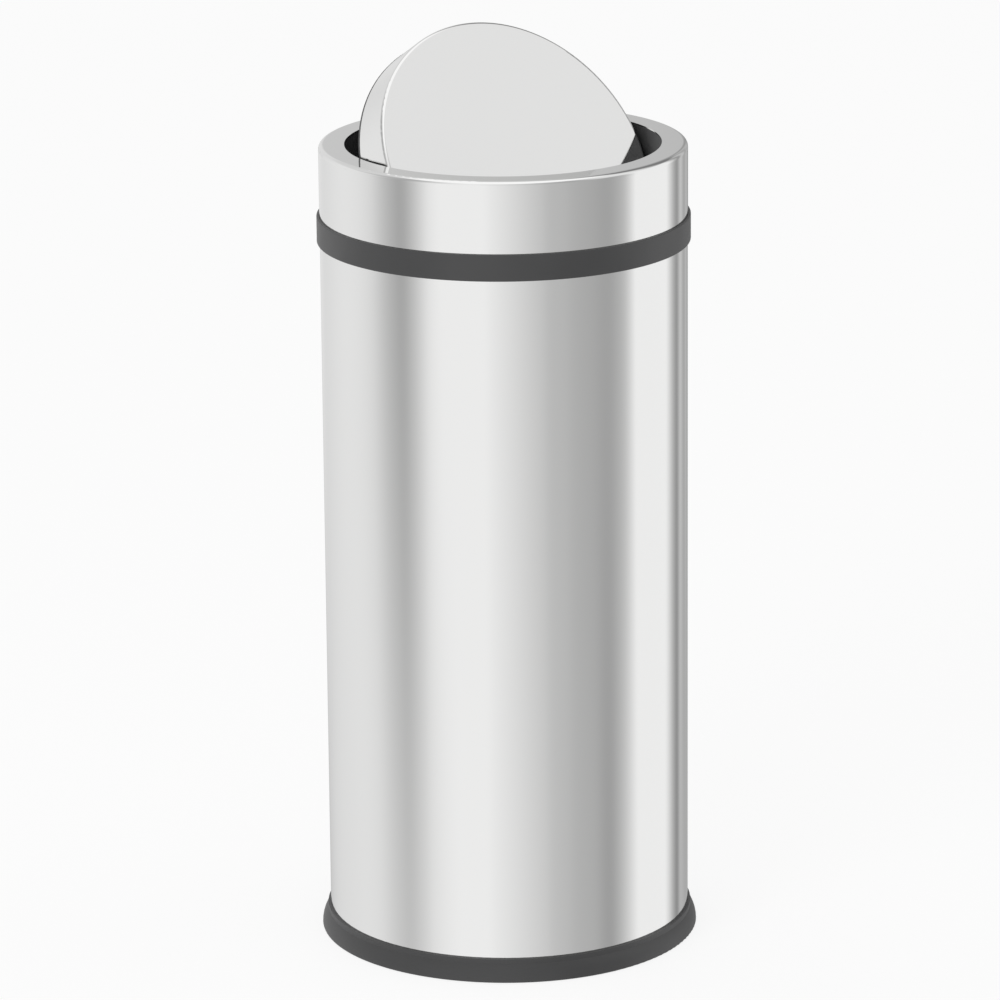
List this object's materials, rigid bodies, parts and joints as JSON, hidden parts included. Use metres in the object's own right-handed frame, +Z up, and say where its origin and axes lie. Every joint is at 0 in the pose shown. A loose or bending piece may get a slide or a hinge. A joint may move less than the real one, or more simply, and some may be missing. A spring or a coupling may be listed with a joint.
{
  "type": "flip lid bin",
  "caption": "Round free-standing steel bin with a lift-off head, a balanced round flap on a level axle, and a lift-out inner bucket with a folding bail.",
  "frame": {"origin": "on the floor, at the centre of the footprint", "axes": "+Z up, +X along the flap's axle, -Y towards the front, where the open flap's face looks"},
  "size_m": [0.314, 0.314, 0.7579],
  "materials": {
    "polished_steel": "polished stainless steel",
    "black_plastic": "satin moulded",
    "rubber": "matte",
    "bearing_plastic": "smooth moulded",
    "galvanised_steel": "galvanised, with a faint spangle",
    "zinc_steel": "zinc plated"
  },
  "bodies": {
    "bin": {"body_shell": "polished_steel", "base_ring": "black_plastic", "anti_slip_ring": "rubber", "base_pan": "galvanised_steel", "base_screws": "zinc_steel", "base_nuts": "zinc_steel"},
    "head": {"collar_shell": "polished_steel", "band_ring": "black_plastic", "inner_frame": "black_plastic", "head_screws": "zinc_steel", "pivot_bush_left": "bearing_plastic", "pivot_bush_right": "bearing_plastic", "stop_buffer_left": "rubber", "stop_buffer_right": "rubber"},
    "flap": {"flap_shell": "polished_steel", "flap_base": "black_plastic", "flap_studs": "zinc_steel", "flap_nuts": "zinc_steel", "pivot_pin_left": "zinc_steel", "pivot_pin_right": "zinc_steel", "pin_set_screws": "zinc_steel", "counterweight": "zinc_steel", "counterweight_screws": "zinc_steel"},
    "bucket": {"bucket_wall": "galvanised_steel", "bucket_floor": "galvanised_steel", "bail_ear_left": "galvanised_steel", "bail_ear_right": "galvanised_steel", "ear_rivets": "zinc_steel"},
    "bail": {"bail_wire": "zinc_steel", "bail_grip": "black_plastic"}
  },
  "joints": [
    {"name": "head_lift", "type": "slide", "parent": "bin", "child": "head", "axis": [0, 0, 1], "range_m": [0, 1.25]},
    {"name": "flap_swing", "type": "hinge", "parent": "head", "child": "flap", "pos_m": [0, 0, 0.6434], "axis": [1, 0, 0], "range_deg": [-124.5, 15.5]},
    {"name": "bucket_lift", "type": "slide", "parent": "bin", "child": "bucket", "axis": [0, 0, 1], "range_m": [0, 0.625]},
    {"name": "bail_swing", "type": "hinge", "parent": "bucket", "child": "bail", "pos_m": [0, 0, 0.5532], "axis": [1, 0, 0], "range_deg": [0, 180]}
  ],
  "couplings": [
    {"joint": "bucket_lift", "follows": "head_lift", "ratio": 0.5},
    {"joint": "bail_swing", "follows": "head_lift", "rad_per_m": 2.5133}
  ]
}
